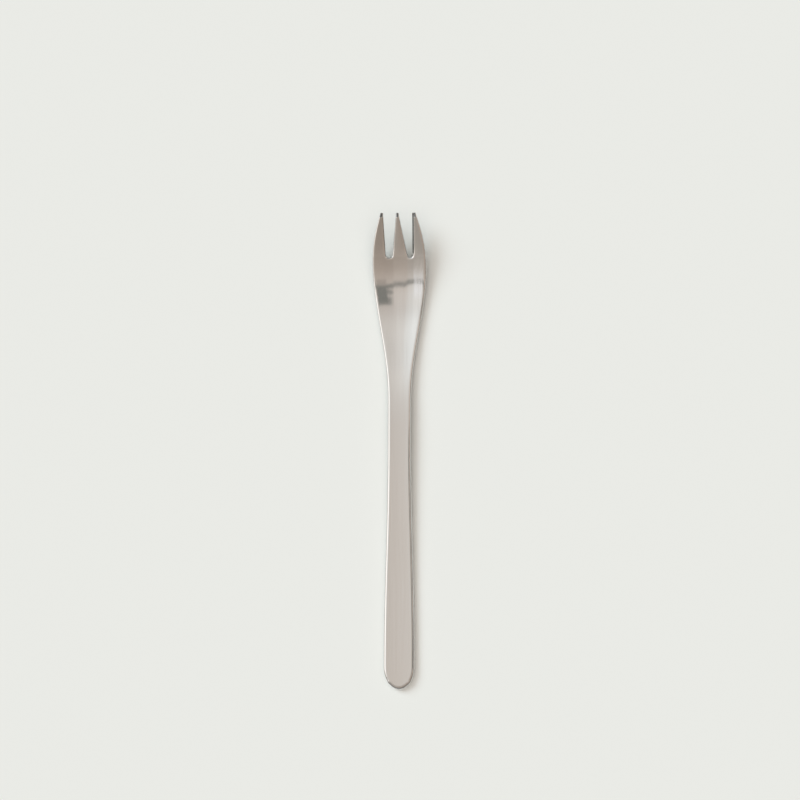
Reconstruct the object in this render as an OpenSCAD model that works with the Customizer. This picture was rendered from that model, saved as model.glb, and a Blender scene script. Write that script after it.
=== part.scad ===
// Three-tined dessert fork, pressed in one piece from stainless steel.
// It lies face up on a table. +Y runs from the handle's end to the tine tips and +Z is up.
// The origin is on the table, under the middle of the fork's box. Lengths are in millimetres,
// and places along the fork are distances from the handle's end.

/* [Overall] */
// Length from the handle's end to the tine tips, seen from above
fork_l = 150; // [140:1:200]

/* [Handle] */
// Width at the widest place, near the end
handle_w = 9.8; // [8.5:0.1:12]
// Thickness of the handle and the neck
handle_t = 2.2; // [1.8:0.1:2.8]
// Length of the round end, up to where the sides run straight
end_round_l = 7; // [4.5:0.5:9]
// Distance from the end to where the handle starts to narrow
bulge_y = 12; // [9:1:20]
// Length of the underside that lies flat on the table
rest_l = 30; // [20:1:40]
// Length of the rounding on the upper and lower edge of the end
end_edge_l = 1.8; // [1:0.1:2.4]

/* [Neck] */
// Width of the neck
neck_w = 7.4; // [5:0.1:8]
// Length of the straight neck
neck_l = 16; // [6:1:20]
// Height of the neck's underside above the table
arch_h = 1.1; // [0.6:0.1:3]

/* [Head] */
// Length of the head, from the neck to the tine tips
head_l = 58; // [54:1:66]
// Width at the widest place
head_w = 17.2; // [15.5:0.1:19]
// Distance from the tine tips back to the widest place
widest_from_tip = 16; // [14:0.5:18]
// Distance from the tine tips back to the place that rests on the table
belly_from_tip = 32; // [28:0.5:36]
// Radius of the bend between the belly and the tines
belly_r = 62; // [50:1:68]
// Thickness of the head
head_t = 1.6; // [1.3:0.1:1.8]
// Depth of the dish across the head
dish_h = 0.9; // [0.3:0.1:1.4]

/* [Tines] */
// Length of a tine, seen from above
tine_l = 13.3; // [12:0.1:15]
// Angle that the tines rise at
tine_angle = 20; // [12:1:24]
// Distance between two neighbouring tips
tip_pitch = 5.1; // [4.6:0.1:6]
// Width of a tine's tip
tip_w = 0.8; // [0.6:0.05:1.1]
// Thickness of a tine's tip
tip_t = 1; // [0.8:0.1:1.2]
// Length of the rounding on the upper and lower edge of a tip
tip_edge_l = 0.8; // [0.3:0.1:1]
// Depth of the dish across the three tips
tip_dish_h = 0.4; // [0.1:0.05:0.6]
// Width of the middle tine at its root
tine_root_w = 4.7; // [3.5:0.1:5]
// Width of the slot between two tines, at its round bottom
slot_w = 2; // [1.6:0.1:2.4]
// Distance that the middle tine's root stands to the right of the centre line
mid_lean = 0.2; // [0:0.05:0.4]
// Distance that the middle tine's tip stands to the left of the centre line
mid_tip_lean = 0.25; // [0:0.05:0.4]

/* [Edges] */
// Width of the rounding along the sides, as a share of the thickness
edge_w_share = 0.42; // [0.2:0.02:0.44]
// Height of the rounding along the sides, as a share of half the thickness
edge_h_share = 0.85; // [0.5:0.05:0.9]
// Height of the rounding at the tips, as a share of half the thickness
tip_h_share = 0.5; // [0.3:0.05:0.6]

/* [Hidden] */

// Places along the fork
neck_end_y = fork_l - head_l;
neck_start_y = neck_end_y - neck_l;
arch_y = neck_end_y - neck_l / 2;
belly_y = fork_l - belly_from_tip;
bend_end_y = belly_y + belly_r * sin(tine_angle);
widest_y = fork_l - widest_from_tip;
root_y = fork_l - tine_l;

// Height of the underside where the bend ends, and half the width across the tips
bend_end_h = belly_r * (1 - cos(tine_angle));
tips_half_w = tip_pitch + tip_w / 2;

// Overrun of the cuts past the faces that they go through
overrun = 1;

// Counts of steps: round end, handle, neck and head, tip rounding, face, side rounding, slot
end_n = 10;
handle_n = 16;
head_n = 44;
tip_n = 3;
face_n = 8;
edge_n = 4;
slot_n = 10;

function mix(a, b, share) = a + (b - a) * share;

// Smooth step that goes from 0 at place a to 1 at place b
function ease(a, b, y) =
    let (share = min(1, max(0, (y - a) / (b - a))))
    share * share * (3 - 2 * share);

// Share of the thickness that is left at a distance d from an end that is rounded over a length l,
// where h_share of the thickness is rounded off
function round_off(d, l, h_share) =
    1 - h_share * (d < l ? 1 - sqrt(1 - pow(1 - d / l, 2)) : 0);

// Half the width of the fork
function half_w(y) =
    y < end_round_l ? handle_w / 2 * sqrt(1 - pow(1 - y / end_round_l, 2)) :
    y < neck_start_y ? mix(handle_w, neck_w, ease(bulge_y, neck_start_y, y)) / 2 :
    y < widest_y ? mix(neck_w, head_w, ease(neck_end_y, widest_y, y)) / 2 :
    mix(head_w / 2, tips_half_w, pow((y - widest_y) / widest_from_tip, 2));

// Thickness of the sheet along the centre line
function sheet_t(y) =
    y < root_y ? mix(handle_t, head_t, ease(neck_end_y, widest_y, y)) :
    mix(head_t, tip_t, (y - root_y) / tine_l);

// Thickness that the roundings of the two ends leave
function thickness(y) =
    sheet_t(y) * round_off(y, end_edge_l, edge_h_share)
    * round_off(fork_l - y, tip_edge_l, tip_h_share);

// Height of the underside above the table, along the centre line
function under(y) =
    y < rest_l ? 0 :
    y < belly_y ? arch_h * (ease(rest_l, arch_y, y) - ease(arch_y, belly_y, y)) :
    y < bend_end_y ? belly_r - sqrt(pow(belly_r, 2) - pow(y - belly_y, 2)) :
    bend_end_h + (y - bend_end_y) * tan(tine_angle);

// Depth of the dish from side to side
function dish(y) =
    y < widest_y ? dish_h * ease(neck_end_y, widest_y, y) :
    mix(dish_h, tip_dish_h, (y - widest_y) / widest_from_tip);

// One ring round the section, clockwise from its left side, as shares of the section's sizes:
// place between the two roundings, way out across a rounding, height from the middle
function side_share(side, i) =
    let (a = 90 * i / edge_n) [side, side * sin(a), 1 - edge_h_share * (1 - cos(a))];
upper_shares = concat(
    [for (i = [edge_n:-1:1]) side_share(-1, i)],
    [for (i = [0:face_n]) [2 * i / face_n - 1, 0, 1]],
    [for (i = [1:edge_n]) side_share(1, i)]);
ring_shares = concat(upper_shares, [for (p = upper_shares) -p]);
ring_n = len(ring_shares);

// Places of the rings, from the handle's end to the tips
ring_places = concat(
    [for (i = [1:end_n]) end_round_l * (1 - cos(90 * i / end_n))],
    [for (i = [1:handle_n]) mix(end_round_l, neck_start_y, i / handle_n)],
    [for (i = [1:head_n]) mix(neck_start_y, fork_l - tip_edge_l, i / head_n)],
    [for (i = [1:tip_n]) fork_l - tip_edge_l * (1 - sin(90 * i / tip_n))]);

function ring(y) =
    let (w = half_w(y), e = min(w, edge_w_share * thickness(y)), h = under(y) + sheet_t(y) / 2)
    [for (p = ring_shares)
        let (x = p[0] * (w - e) + p[1] * e)
        [x, y - fork_l / 2, h + dish(y) * pow(x / w, 2) + p[2] * thickness(y) / 2]];

// Sheet before its slots are cut: a fan at the handle's end, rings along it, and a strip of
// triangles that closes the last ring between its upper and its lower half
module blank() {
    end_point = [0, -fork_l / 2, sheet_t(0) / 2];
    last = (len(ring_places) - 1) * ring_n;
    fan = [for (j = [0:ring_n - 1]) [last + ring_n, j, (j + 1) % ring_n]];
    sides = [for (r = [0:ring_n:last - ring_n], j = [0:ring_n - 1], k = [0, 1])
        let (a = r + j, d = r + (j + 1) % ring_n)
        k == 0 ? [a, a + ring_n, d + ring_n] : [a, d + ring_n, d]];
    strip = [for (j = [0:ring_n / 2 - 2], k = [0, 1])
        let (a = last + j, d = last + ring_n - 1 - j)
        k == 0 ? [a + 1, a, d] : [a + 1, d, d - 1]];
    polyhedron(
        points = concat([for (y = ring_places, p = ring(y)) p], [end_point]),
        faces = concat(fan, sides, strip));
}

// Slot between the middle tine and the outer tine on one side, -1 for left and 1 for right:
// a half circle at the root, and two straight walls that run on past the tips
module slot(side) {
    root_x = [mid_lean + side * tine_root_w / 2, side * (tine_root_w / 2 + slot_w)];
    tip_x = [side * tip_w / 2 - mid_tip_lean, side * (tip_pitch - tip_w / 2)];
    r = abs(root_x[1] - root_x[0]) / 2;
    wall_l = tine_l - r;
    arc = [for (i = [0:slot_n])
        let (a = 180 * i / slot_n)
        [mix(root_x[0], root_x[1], 1 / 2) - side * r * cos(a), root_y + r * (1 - sin(a))]];
    mouth = [for (i = [1, 0])
        [mix(root_x[i], tip_x[i], 1 + overrun / wall_l), fork_l + overrun]];
    translate([0, -fork_l / 2, -overrun])
        linear_extrude(under(fork_l) + tip_t + tip_dish_h + 2 * overrun)
            polygon(concat(arc, mouth));
}

module fork() {
    color("silver")
        difference() {
            blank();
            for (side = [-1, 1]) slot(side);
        }
}

fork();
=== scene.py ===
import math

import bmesh
import bpy
from mathutils import Matrix, Vector


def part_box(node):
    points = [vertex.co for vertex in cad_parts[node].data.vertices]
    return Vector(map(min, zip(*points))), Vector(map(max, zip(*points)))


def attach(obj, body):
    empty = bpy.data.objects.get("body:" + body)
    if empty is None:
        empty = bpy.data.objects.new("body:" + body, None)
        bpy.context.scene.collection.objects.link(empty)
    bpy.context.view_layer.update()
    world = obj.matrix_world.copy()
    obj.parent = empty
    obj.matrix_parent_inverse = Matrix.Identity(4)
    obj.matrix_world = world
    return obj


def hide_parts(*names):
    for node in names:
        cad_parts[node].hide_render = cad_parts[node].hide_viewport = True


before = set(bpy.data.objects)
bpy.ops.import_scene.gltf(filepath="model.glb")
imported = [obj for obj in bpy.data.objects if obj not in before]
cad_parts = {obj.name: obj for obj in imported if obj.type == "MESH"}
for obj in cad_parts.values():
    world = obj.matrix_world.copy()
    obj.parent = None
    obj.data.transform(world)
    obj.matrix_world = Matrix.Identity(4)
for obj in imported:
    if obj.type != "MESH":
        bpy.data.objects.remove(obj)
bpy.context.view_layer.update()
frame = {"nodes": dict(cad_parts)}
mm = 0.001
print("frame loaded:", ", ".join(frame["nodes"]))


def mix(a, b, share):
    return a + (b - a) * share


def ease(a, b, y):
    # smooth step from 0 at place a to 1 at place b
    share = min(1, max(0, (y - a) / (b - a)))
    return share * share * (3 - 2 * share)


# The fork's sizes in millimetres. Places along it are distances from the handle's end.
cadLow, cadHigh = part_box("fork")
cageEnds, cageSides = 0.14, 0.06  # how far the cage stands out past the length and the head's width
forkSizes = {
    "length": (cadHigh.y - cadLow.y) / mm - cageEnds,
    "handleWidth": 9.8,
    "handleThickness": 2.2,
    "roundEndLength": 7,
    "bulgePlace": 12,
    "restLength": 30,
    "neckWidth": 7.4,
    "neckLength": 16,
    "archHeight": 1.1,
    "headLength": 58,
    "headWidth": (cadHigh.x - cadLow.x) / mm - cageSides,
    "widestFromTip": 16,
    "bellyFromTip": 32,
    "bellyRadius": 62,
    "headThickness": 1.6,
    "dishDepth": 0.9,
    "handleDish": 0.08,  # depth of the hollow across the handle
    "dishRunOut": 4,  # length of the dish that runs into the neck
    "tineLength": 13.3,
    "tineAngle": math.radians(20),
    "tipPitch": 5.1,
    "tipWidth": 0.8,
    "tipThickness": 1.0,
    "tipDishDepth": 0.4,
    "tineRootWidth": 4.7,
    "slotWidth": 2,
    "midLean": 0.2,
    "midTipLean": -0.25,
    "wallLean": 0.55,  # the right tine's inner wall: top edge to the right, lower edge to the left
    "rimShare": 0.5,  # rounding of the outer edge, as a share of the thickness
    "slotEdgeFall": 0.12,  # of the upper side beside a slot, as a share of the thickness
    "slotRounding": 0.45,
    "slotCornerLift": 0.3,  # of the corners at a slot's bottom, as a share of its radius
    "slotMiddleDrop": 0.15,  # of the middle between them, as the same share
    "tipRounding": 0.25,
    "tipTaper": 1.15,  # length that the tips get thinner over
    "tipDrop": 0.68,  # thickness that they lose there
    "tipCrease": 0.15,  # length of the crease on either side of its start
    "handleRows": 11,
    "handleRowGrowth": 1.25,  # more than 1 crowds the handle's rows towards the end
    "headRows": 17,
    "tineRows": 6,
    "linesSet": 1,  # distance before the root at which the lengthwise lines are in their tines
    "subdivisions": 3,
}


def forkPlaces(s):
    neckEnd = s["length"] - s["headLength"]
    belly = s["length"] - s["bellyFromTip"]
    return {
        "neckStart": neckEnd - s["neckLength"],
        "neckEnd": neckEnd,
        "arch": neckEnd - s["neckLength"] / 2,
        "belly": belly,
        "bendEnd": belly + s["bellyRadius"] * math.sin(s["tineAngle"]),
        "bendEndHeight": s["bellyRadius"] * (1 - math.cos(s["tineAngle"])),
        "widest": s["length"] - s["widestFromTip"],
        "root": s["length"] - s["tineLength"],
    }


places = forkPlaces(forkSizes)


def halfWidth(y):
    s, p = forkSizes, places
    if y < p["neckStart"]:
        return mix(s["handleWidth"], s["neckWidth"], ease(s["bulgePlace"], p["neckStart"], y)) / 2
    if y < p["widest"]:
        return mix(s["neckWidth"], s["headWidth"], ease(p["neckEnd"], p["widest"], y)) / 2
    tipsHalfWidth = s["tipPitch"] + s["tipWidth"] / 2
    return mix(s["headWidth"] / 2, tipsHalfWidth, ((y - p["widest"]) / s["widestFromTip"]) ** 2)


def thickness(y):
    s, p = forkSizes, places
    if y < p["root"]:
        return mix(s["handleThickness"], s["headThickness"], ease(p["neckEnd"], p["widest"], y))
    tine = mix(s["headThickness"], s["tipThickness"], (y - p["root"]) / s["tineLength"])
    return tine - s["tipDrop"] * max(0, (y - s["length"]) / s["tipTaper"] + 1)


def undersideHeight(y):
    s, p = forkSizes, places
    if y < s["restLength"]:
        return 0
    if y < p["belly"]:
        return s["archHeight"] * (ease(s["restLength"], p["arch"], y) - ease(p["arch"], p["belly"], y))
    if y < p["bendEnd"]:
        return s["bellyRadius"] - math.sqrt(s["bellyRadius"] ** 2 - (y - p["belly"]) ** 2)
    return p["bendEndHeight"] + (y - p["bendEnd"]) * math.tan(s["tineAngle"])


def dishDepth(y):
    s, p = forkSizes, places
    if y < p["widest"]:
        start = p["neckEnd"] - s["dishRunOut"]
        return mix(s["handleDish"], s["dishDepth"], ease(start, p["widest"], y))
    return mix(s["dishDepth"], s["tipDishDepth"], (y - p["widest"]) / s["widestFromTip"])


def underPoint(x, y):
    return Vector((x, y, undersideHeight(y) + dishDepth(y) * (x / halfWidth(y)) ** 2))


def upperPoint(x, y):
    # one thickness above underPoint(x, y), square to the sheet
    step = 0.05
    across = underPoint(x + step, y) - underPoint(x - step, y)
    along = underPoint(x, y + step) - underPoint(x, y - step)
    return underPoint(x, y) + across.cross(along).normalized() * thickness(y)


def slotEdgeFall(y):
    # starts above the slots' round bottoms
    s, p = forkSizes, places
    roundTop = p["root"] + s["slotWidth"] / 2
    return s["slotEdgeFall"] * thickness(y) * ease(roundTop, roundTop + s["slotWidth"], y)


def slotWalls(y):
    # x of the slots' four walls, from left to right; below the root they narrow with the head
    s, p = forkSizes, places
    top = max(y, p["root"])
    radius = s["slotWidth"] / 2
    share = (top - p["root"] - radius) / (s["tineLength"] - radius)
    innerRoot, outerRoot = s["tineRootWidth"] / 2, s["tineRootWidth"] / 2 + s["slotWidth"]
    innerTip, outerTip = s["tipWidth"] / 2, s["tipPitch"] - s["tipWidth"] / 2
    walls = [
        mix(-outerRoot, -outerTip, share),
        mix(s["midLean"] - innerRoot, s["midTipLean"] - innerTip, share),
        mix(s["midLean"] + innerRoot, s["midTipLean"] + innerTip, share),
        mix(outerRoot, outerTip, share),
    ]
    return [x * halfWidth(y) / halfWidth(top) for x in walls]


def pushOut(edge, support):
    # subdivision pulls a cage's edge in by a 24th of the way to the line beside it
    return edge + (edge - support) / 23


def tineLines(left, right, leftRounding, rightRounding):
    # x of the four lines of one tine: two edges, and a line beside each that sets its rounding
    most = (right - left) / 3
    besideLeft = left + min(leftRounding, most)
    besideRight = right - min(rightRounding, most)
    return [pushOut(left, besideLeft), besideLeft, besideRight, pushOut(right, besideRight)]


# of the 14 lengthwise lines, counted from the left, those at the slots' walls and in their middles
wallLines = (3, 5, 8, 10)
slotMiddles = (4, 9)


def lengthLines(y):
    # x of the lengthwise lines: in the head four to a tine and one in each slot, in the handle
    # two at each rim and the rest evenly between them
    s, p = forkSizes, places
    w = halfWidth(y)
    rim, slot = s["rimShare"] * thickness(y), s["slotRounding"]
    a, b, c, d = slotWalls(y)
    inHead = (tineLines(-w, a, rim, slot) + [(a + b) / 2] + tineLines(b, c, slot, slot)
              + [(c + d) / 2] + tineLines(d, w, slot, rim))
    inside = w - rim
    gaps = len(inHead) - 3
    evenly = [inside * (2 * i / gaps - 1) for i in range(gaps + 1)]
    inHandle = [pushOut(-w, -inside)] + evenly + [pushOut(w, inside)]
    share = ease(p["neckStart"], p["root"] - s["linesSet"], y)
    return [mix(handleX, headX, share) for handleX, headX in zip(inHandle, inHead)]


def endPoint(lineShare, rowShare):
    # A point of the round end. Both shares are 1 at the rim and 0 at the middle, so the rim and the
    # line beside it run round the end in parallel.
    s = forkSizes
    ring = max(abs(lineShare), rowShare)
    if abs(lineShare) > rowShare:
        angle = math.copysign(math.pi / 2 - math.pi / 4 * rowShare / ring, lineShare)
    else:
        angle = math.pi / 4 * lineShare / ring
    return Vector((s["handleWidth"] / 2 * ring * math.sin(angle),
                   s["roundEndLength"] * (1 - ring * math.cos(angle))))


def forkRows():
    # rows of plan points (x, y), from the handle's end to the tips, and the number of the root's row
    s, p = forkSizes, places
    shares = [x / (s["handleWidth"] / 2) for x in lengthLines(s["roundEndLength"])]
    leftHalf = shares[:len(shares) // 2]
    rows = [[endPoint(share, -rowShare) for share in shares] for rowShare in leftHalf]
    straight = [mix(s["roundEndLength"], p["neckStart"], (i / s["handleRows"]) ** s["handleRowGrowth"])
                for i in range(s["handleRows"])]
    support = p["root"] - s["slotRounding"]
    straight += [mix(p["neckStart"], support, i / s["headRows"]) for i in range(s["headRows"] + 1)]
    rootRow = len(rows) + len(straight)
    straight.append(p["root"])
    radius = s["slotWidth"] / 2
    taperStart, tip = s["length"] - s["tipTaper"], s["length"] - s["tipRounding"]
    tineRows, crease = s["tineRows"], s["tipCrease"]
    straight += [mix(p["root"] + radius, taperStart - crease, i / tineRows)
                 for i in range(tineRows + 1)]
    straight += [taperStart, taperStart + crease, tip, pushOut(s["length"], tip)]
    rows += [[Vector((x, y)) for x in lengthLines(y)] for y in straight]
    # the slots' round bottoms
    for line in wallLines:
        rows[rootRow][line].y += s["slotCornerLift"] * radius
    for line in slotMiddles:
        rows[rootRow][line].y -= s["slotMiddleDrop"] * radius
    return rows, rootRow


def makeFork():
    rows, rootRow = forkRows()
    bm = bmesh.new()
    lines = len(rows[0])
    bmesh.ops.create_grid(bm, x_segments=lines - 1, y_segments=len(rows) - 1, size=1)
    bm.verts.ensure_lookup_table()
    for r, row in enumerate(rows):
        for i, point in enumerate(row):
            bm.verts[r * lines + i].co = (point.x, point.y, 0)

    def inSlot(face):
        # a slot's faces have its middle line on one side
        rowNumbers, lineNumbers = zip(*(divmod(v.index, lines) for v in face.verts))
        return min(rowNumbers) >= rootRow and any(line in slotMiddles for line in lineNumbers)

    def lineVerts(line, firstRow):
        return {bm.verts[r * lines + line] for r in range(firstRow, len(rows))}

    leftTineWall, middleLeftWall, middleRightWall, rightTineWall = (
        lineVerts(line, rootRow + 1) for line in wallLines)
    slotEdges = leftTineWall | middleLeftWall | middleRightWall | rightTineWall
    rims = lineVerts(0, 0) | lineVerts(lines - 1, 0)
    slotFaces = [face for face in bm.faces if inSlot(face)]
    bmesh.ops.delete(bm, geom=slotFaces, context="FACES")
    # the plan is extruded into an underside and an upper side, and both take their heights
    under = list(bm.verts)
    plan = set(under)
    extruded = bmesh.ops.extrude_face_region(bm, geom=list(bm.faces))["geom"]
    # the walls on the right of the slots are marked for the material, which gives them a rougher cut
    # finish and a near-black colour that is painted shade
    roughAndShadedCutWall = bm.faces.layers.float.new("roughAndShadedCutWall")
    for face in bm.faces:
        foot = plan.intersection(face.verts)
        face[roughAndShadedCutWall] = float(len(foot) == 2 and (foot <= middleLeftWall or foot <= rightTineWall))
    # the outer walls stand upright, the upper side falls off beside the slots, and the right
    # tine's inner wall leans
    for v in [item for item in extruded if isinstance(item, bmesh.types.BMVert)]:
        feet = {edge.other_vert(v) for edge in v.link_edges}
        x, y = v.co.x, v.co.y
        if feet & rightTineWall:
            x += forkSizes["wallLean"]
        v.co = upperPoint(x, y)
        if feet & rims:
            v.co.x = x
        if feet & slotEdges:
            v.co.z -= slotEdgeFall(y)
    for v in under:
        v.co = underPoint(v.co.x - (v in rightTineWall) * forkSizes["wallLean"], v.co.y)
    bmesh.ops.recalc_face_normals(bm, faces=list(bm.faces))
    toFrame = Matrix.Scale(mm, 4) @ Matrix.Translation((0, -forkSizes["length"] / 2, 0))
    bmesh.ops.transform(bm, matrix=toFrame, verts=list(bm.verts))
    for face in bm.faces:
        face.smooth = True
    mesh = bpy.data.meshes.new("satin_fork")
    bm.to_mesh(mesh)
    bm.free()
    piece = bpy.data.objects.new("satin_fork", mesh)
    bpy.context.scene.collection.objects.link(piece)
    smooth = piece.modifiers.new("smooth sheet", "SUBSURF")
    smooth.levels = smooth.render_levels = forkSizes["subdivisions"]
    return piece


satinFork = makeFork()
print("fork modelled:", len(satinFork.data.polygons), "cage faces")


def addNode(tree, kind, inputs=None, **settings):
    # a value in inputs is a number, a list or the output socket of another node
    node = tree.nodes.new(kind)
    for name, value in settings.items():
        setattr(node, name, value)
    for name, value in (inputs or {}).items():
        if isinstance(value, bpy.types.NodeSocket):
            tree.links.new(value, node.inputs[name])
        else:
            node.inputs[name].default_value = value
    return node


def calc(tree, operation, *values):
    return addNode(tree, "ShaderNodeMath", dict(enumerate(values)), operation=operation).outputs[0]


def smoothStep(tree, value, start, end, low=0.0, high=1.0):
    return addNode(tree, "ShaderNodeMapRange", {
        "Value": value, "From Min": start, "From Max": end, "To Min": low, "To Max": high,
    }, interpolation_type="SMOOTHSTEP").outputs["Result"]


def mixColours(tree, factor, first, second):
    # the colours are the Mix node's sockets 6 and 7, and the mixed one is its output 2
    return addNode(tree, "ShaderNodeMix", {
        "Factor": factor, 6: first, 7: second}, data_type="RGBA").outputs[2]


def colourRamp(tree, factor, stops):
    # stops are (position, colour), from left to right
    node = addNode(tree, "ShaderNodeValToRGB", {"Fac": factor})
    ramp = node.color_ramp
    ramp.interpolation = "B_SPLINE"
    while len(ramp.elements) < len(stops):
        ramp.elements.new(1)
    for element, (position, colour) in zip(ramp.elements, stops):
        element.position = position
        element.color = (*colour, 1)
    return node.outputs["Color"]


steelLook = {
    "colour": (0.667, 0.655, 0.638),
    "roughness": 0.09,
    "roughnessSpread": 0.02,
    "grainWidth": 0.06 * mm,
    "grainLength": 6 * mm,
    "grainHeight": 0.003 * mm,
    "streakWidth": 1 * mm,
    "streakLength": 24 * mm,
    "streakHeight": 0.02 * mm,
    "smudgeSize": 9 * mm,
    "grainDetail": 2.0,
    "streakDetail": 3.0,
    "streakShare": 0.6,  # of the streaks in the wear, and the smudges have the rest
    "wearRange": (0.3, 0.7),
    "cutWallShadeColour": (0.03, 0.025, 0.021),  # painted shade: near-black on the slots' cut walls
    "cutRoughness": 0.4,
}


def makeSatinSteel():
    look = steelLook
    material = bpy.data.materials.new("satin_steel")
    material.use_nodes = True
    tree = material.node_tree
    shader = tree.nodes["Principled BSDF"]
    place = addNode(tree, "ShaderNodeTexCoord").outputs["Object"]

    def grain(width, length, detail):
        # fine lines that run along the fork
        stretched = addNode(tree, "ShaderNodeMapping", {
            "Vector": place, "Scale": (1 / width, 1 / length, 1 / width)}).outputs["Vector"]
        return addNode(tree, "ShaderNodeTexNoise", {
            "Vector": stretched, "Scale": 1.0, "Detail": detail, "Roughness": 0.6}).outputs["Fac"]

    fine = grain(look["grainWidth"], look["grainLength"], look["grainDetail"])
    broad = grain(look["streakWidth"], look["streakLength"], look["streakDetail"])
    smudges = addNode(tree, "ShaderNodeTexNoise", {
        "Vector": place, "Scale": 1 / look["smudgeSize"], "Detail": look["streakDetail"],
    }).outputs["Fac"]
    wear = calc(tree, "ADD", calc(tree, "MULTIPLY", broad, look["streakShare"]),
                calc(tree, "MULTIPLY", smudges, 1 - look["streakShare"]))
    roughness = smoothStep(tree, wear, *look["wearRange"],
                           look["roughness"] - look["roughnessSpread"],
                           look["roughness"] + look["roughnessSpread"])
    # the marked cut walls get a rougher finish, and their near-black colour is painted shade
    roughAndShaded = addNode(tree, "ShaderNodeAttribute", attribute_name="roughAndShadedCutWall").outputs["Fac"]
    colour = mixColours(tree, roughAndShaded, (*look["colour"], 1), (*look["cutWallShadeColour"], 1))
    tree.links.new(colour, shader.inputs["Base Color"])
    # the Mix node's sockets 2 and 3 are its two numbers
    rough = addNode(tree, "ShaderNodeMix", {"Factor": roughAndShaded, 2: roughness, 3: look["cutRoughness"]})
    tree.links.new(rough.outputs[0], shader.inputs["Roughness"])
    shader.inputs["Metallic"].default_value = 1
    height = calc(tree, "ADD", calc(tree, "MULTIPLY", fine, look["grainHeight"]),
                  calc(tree, "MULTIPLY", broad, look["streakHeight"]))
    bump = addNode(tree, "ShaderNodeBump", {"Height": height, "Strength": 1.0, "Distance": 1.0})
    tree.links.new(bump.outputs["Normal"], shader.inputs["Normal"])
    return material


satinFork.data.materials.append(makeSatinSteel())
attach(satinFork, "root")
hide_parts("fork")
print("steel finished")

tableLook = {"size": 12.0, "colour": (0.82, 0.828, 0.79), "roughness": 0.9}


def makeTable():
    bm = bmesh.new()
    bmesh.ops.create_grid(bm, x_segments=1, y_segments=1, size=tableLook["size"] / 2)
    mesh = bpy.data.meshes.new("table")
    bm.to_mesh(mesh)
    bm.free()
    table = bpy.data.objects.new("table", mesh)
    bpy.context.scene.collection.objects.link(table)
    material = bpy.data.materials.new("matt_table")
    material.use_nodes = True
    shader = material.node_tree.nodes["Principled BSDF"]
    shader.inputs["Base Color"].default_value = (*tableLook["colour"], 1)
    shader.inputs["Roughness"].default_value = tableLook["roughness"]
    shader.inputs["Specular IOR Level"].default_value = 0.0
    mesh.materials.append(material)


makeTable()

# Soft studio light. A direction's x, y and z are its parts to the right, towards the tips and up.
# The key and the dome together light the table at a level of 1.
studio = {
    "keyElevation": math.radians(38.5),
    "keyTurn": math.radians(36),  # from straight left towards the tips
    "keySpread": math.radians(35),
    "keyStrength": 1.842,
    "keyColour": (0.8, 0.92, 1.0),
    "domeColour": (1.77, 1.66, 1.587),  # straight above, of the dome that lights the table
    "domeFall": 3,  # power of the direction's z that the dome darkens with
    "dark": (0.27, 0.27, 0.25),  # of the unlit lamp and its boom
    "boomPlace": -0.23,  # y part of the boom's direction straight above the fork
    "boomSlope": 0.16,
    "boomBend": -0.2,  # x part beyond which the boom runs straight to the left
    "boomEdge": (0.015, 0.029),  # distances from its middle between which the boom fades out
    "boomEnd": (-0.25, -0.5),  # x parts between which it fades out
    # The room that the steel mirrors. The two ramps of its colours run from -1 to 1 of x and y, and
    # are multiplied with each other and with the level.
    "level": 3.48,
    "sideways": (
        (0.0, (0.6, 0.62, 0.64)), (0.16, (0.76, 0.8, 0.83)), (0.27, (0.68, 0.73, 0.765)),
        (0.36, (0.545, 0.58, 0.605)), (0.445, (0.5, 0.5, 0.5)), (0.52, (0.43, 0.43, 0.43)),
        (0.65, (0.44, 0.43, 0.42)), (0.8, (0.62, 0.59, 0.56)), (1.0, (0.85, 0.8, 0.75)),
    ),
    "lengthways": (
        (0.0, (0.36, 0.35, 0.34)), (0.12, (0.25, 0.24, 0.23)), (0.2, (0.215, 0.187, 0.162)),
        (0.28, (0.305, 0.26, 0.223)), (0.34, (0.4, 0.35, 0.31)), (0.42, (0.49, 0.45, 0.415)),
        (0.5, (0.455, 0.42, 0.393)), (0.55, (0.51, 0.485, 0.46)), (0.6, (0.68, 0.66, 0.635)),
        (0.75, (0.52, 0.51, 0.49)), (1.0, (0.9, 0.88, 0.85)),
    ),
    "ceiling": (0.62, 0.72),  # z parts between which the dark walls give way to the ceiling
    "paneTint": (1.1, 1.14, 1.22),
}

# Boxes in the room: x and y of the middle, half the size in x and y, where the edge starts and
# ends as shares of that, and the share of the light that is left inside.
roomBoxes = {
    "lampHood": (0.255, -0.117, 0.165, 0.088, 0.85, 1.15, 0),
    "lampFoot": (0.2, -0.07, 0.17, 0.042, 0.8, 1.2, 0),
    "lampKnob": (0.07, -0.16, 0.075, 0.018, 0.8, 1.2, 0),
    "lampHaze": (0.26, -0.252, 0.16, 0.042, 0.6, 1.1, 0.72),
    "pane": (-0.48, -0.23, 0.13, 0.12, 0.2, 1.5, 0),
    "rightWall": (0.75, -0.1, 0.5, 0.55, 0.9, 1.1, 0.17),
    "endWall": (-0.2, -0.75, 0.8, 0.5, 0.9, 1.1, 0.6),
    "window": (-0.7, -0.05, 0.22, 0.35, 0.8, 1.1, 1.55),
    "screen": (-0.1, 0.6, 0.6, 0.4, 0.8, 1.2, 0.15),
    "curtain": (-0.6, -0.8, 0.35, 0.45, 0.6, 1.3, 0.76),
}


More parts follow.
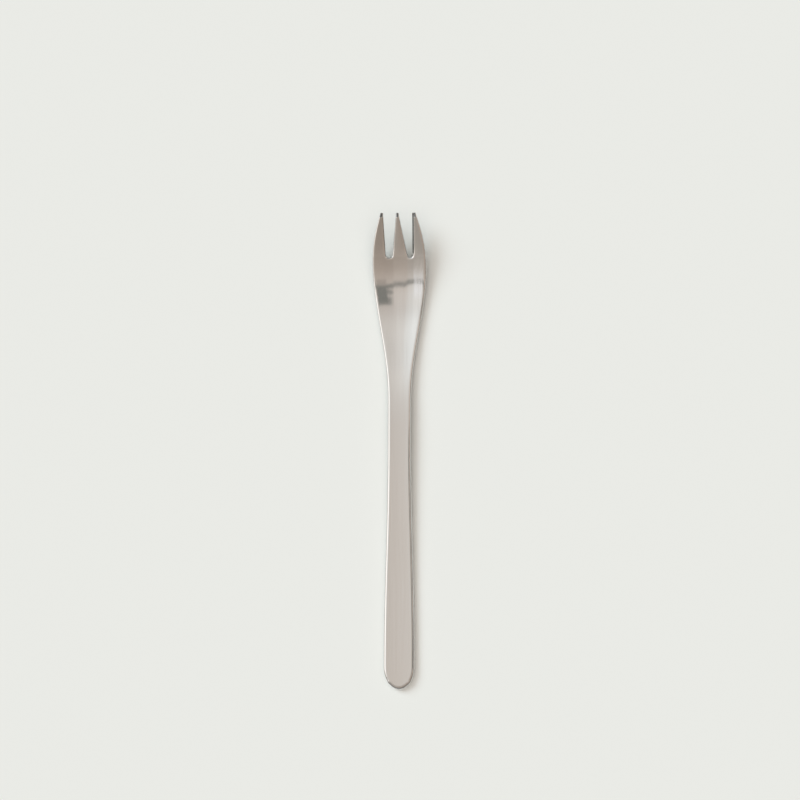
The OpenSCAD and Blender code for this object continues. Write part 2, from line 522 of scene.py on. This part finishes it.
def makeRoom():
    world = bpy.data.worlds.new("studio")
    bpy.context.scene.world = world
    world.use_nodes = True
    tree = world.node_tree
    tree.nodes.clear()
    direction = addNode(tree, "ShaderNodeTexCoord").outputs["Generated"]
    parts = addNode(tree, "ShaderNodeSeparateXYZ", {"Vector": direction}).outputs
    x, y, z = parts["X"], parts["Y"], parts["Z"]

    def distance(part, middle):
        return calc(tree, "ABSOLUTE", calc(tree, "SUBTRACT", part, middle))

    def outside(name):
        # 1 outside a box, and the share of light that it leaves inside it
        middleX, middleY, halfX, halfY, edgeStart, edgeEnd, inside = roomBoxes[name]
        away = calc(tree, "MAXIMUM", calc(tree, "DIVIDE", distance(x, middleX), halfX),
                    calc(tree, "DIVIDE", distance(y, middleY), halfY))
        return smoothStep(tree, away, edgeStart, edgeEnd, inside)

    def product(values):
        total = values[0]
        for value in values[1:]:
            total = calc(tree, "MULTIPLY", total, value)
        return total

    def rampAlong(part, stops):
        return colourRamp(tree, calc(tree, "MULTIPLY_ADD", part, 0.5, 0.5), stops)

    def multiplyColours(first, second):
        return addNode(tree, "ShaderNodeVectorMath", {0: first, 1: second},
                       operation="MULTIPLY").outputs[0]

    # an unlit lamp above the table and the boom that holds it
    boomLine = calc(tree, "MULTIPLY_ADD", calc(tree, "MAXIMUM", x, studio["boomBend"]),
                    studio["boomSlope"], studio["boomPlace"])
    offBoom = calc(tree, "MAXIMUM", smoothStep(tree, distance(y, boomLine), *studio["boomEdge"]),
                   smoothStep(tree, x, *studio["boomEnd"]))
    lit = product([offBoom] + [outside(name) for name in ("lampHood", "lampFoot", "lampKnob")])
    # dark walls on the right and beyond the handle's end, a dark screen beyond the tips, a haze
    # beside the lamp, and on the left a curtain and a bright window with a bluish pane beside it
    walls = calc(tree, "MAXIMUM", product([outside("rightWall"), outside("endWall")]),
                 smoothStep(tree, z, *studio["ceiling"]))
    shade = product([walls] + [outside(name) for name in ("screen", "lampHaze", "curtain", "window")])
    tint = mixColours(tree, outside("pane"), (*studio["paneTint"], 1), (1, 1, 1, 1))
    colour = multiplyColours(rampAlong(x, studio["sideways"]), rampAlong(y, studio["lengthways"]))
    roomLight = addNode(tree, "ShaderNodeVectorMath", {
        0: multiplyColours(colour, tint), "Scale": calc(tree, "MULTIPLY", shade, studio["level"]),
    }, operation="SCALE").outputs[0]
    room = addNode(tree, "ShaderNodeBackground", {
        "Color": mixColours(tree, lit, (*studio["dark"], 1), roomLight)})

    # the steel mirrors the room, a plain dome lights the table, and the camera sees a plain ground
    dome = addNode(tree, "ShaderNodeBackground", {
        "Color": (*studio["domeColour"], 1),
        "Strength": calc(tree, "POWER", calc(tree, "MAXIMUM", z, 0), studio["domeFall"])})
    plain = addNode(tree, "ShaderNodeBackground", {"Color": (*tableLook["colour"], 1)})
    rays = addNode(tree, "ShaderNodeLightPath").outputs
    light = addNode(tree, "ShaderNodeMixShader", {
        0: rays["Is Glossy Ray"], 1: dome.outputs[0], 2: room.outputs[0]})
    mixed = addNode(tree, "ShaderNodeMixShader", {
        0: rays["Is Camera Ray"], 1: light.outputs[0], 2: plain.outputs[0]})
    addNode(tree, "ShaderNodeOutputWorld", {"Surface": mixed.outputs[0]})


def makeKeyLight():
    lamp = bpy.data.lights.new("window", "SUN")
    lamp.energy = studio["keyStrength"]
    lamp.angle = studio["keySpread"]
    lamp.color = studio["keyColour"]
    key = bpy.data.objects.new("window", lamp)
    key.visible_glossy = False  # the steel mirrors the room's own window
    bpy.context.scene.collection.objects.link(key)
    elevation, turn = studio["keyElevation"], studio["keyTurn"]
    level = math.cos(elevation)
    towardsLight = Vector((-level * math.cos(turn), level * math.sin(turn), math.sin(elevation)))
    key.rotation_euler = towardsLight.to_track_quat("Z", "Y").to_euler()


makeRoom()
makeKeyLight()
print("light and table in place")

# The camera looks down at the table from a little to the right. Lengths are in millimetres.
cameraSet = {
    "tilt": math.radians(6.5),
    "distance": 600,
    "target": (-0.13, 16.45),
    "turn": math.radians(0.17),
    "lens": 85.4,
    "sensor": 36,
    "nearest": 10,
}


def makeCamera():
    data = bpy.data.cameras.new("camera")
    data.sensor_width = cameraSet["sensor"]
    data.lens = cameraSet["lens"]
    data.clip_start = cameraSet["nearest"] * mm
    camera = bpy.data.objects.new("camera", data)
    bpy.context.scene.collection.objects.link(camera)
    tilt = cameraSet["tilt"]
    away = Vector((math.sin(tilt), 0, math.cos(tilt)))
    target = Vector((*cameraSet["target"], 0)) * mm
    camera.location = target + away * cameraSet["distance"] * mm
    turned = Matrix.Rotation(tilt, 4, "Y") @ Matrix.Rotation(cameraSet["turn"], 4, "Z")
    camera.rotation_euler = turned.to_euler()
    bpy.context.scene.camera = camera


makeCamera()
bpy.context.scene.view_settings.view_transform = "Standard"
print("camera in place")
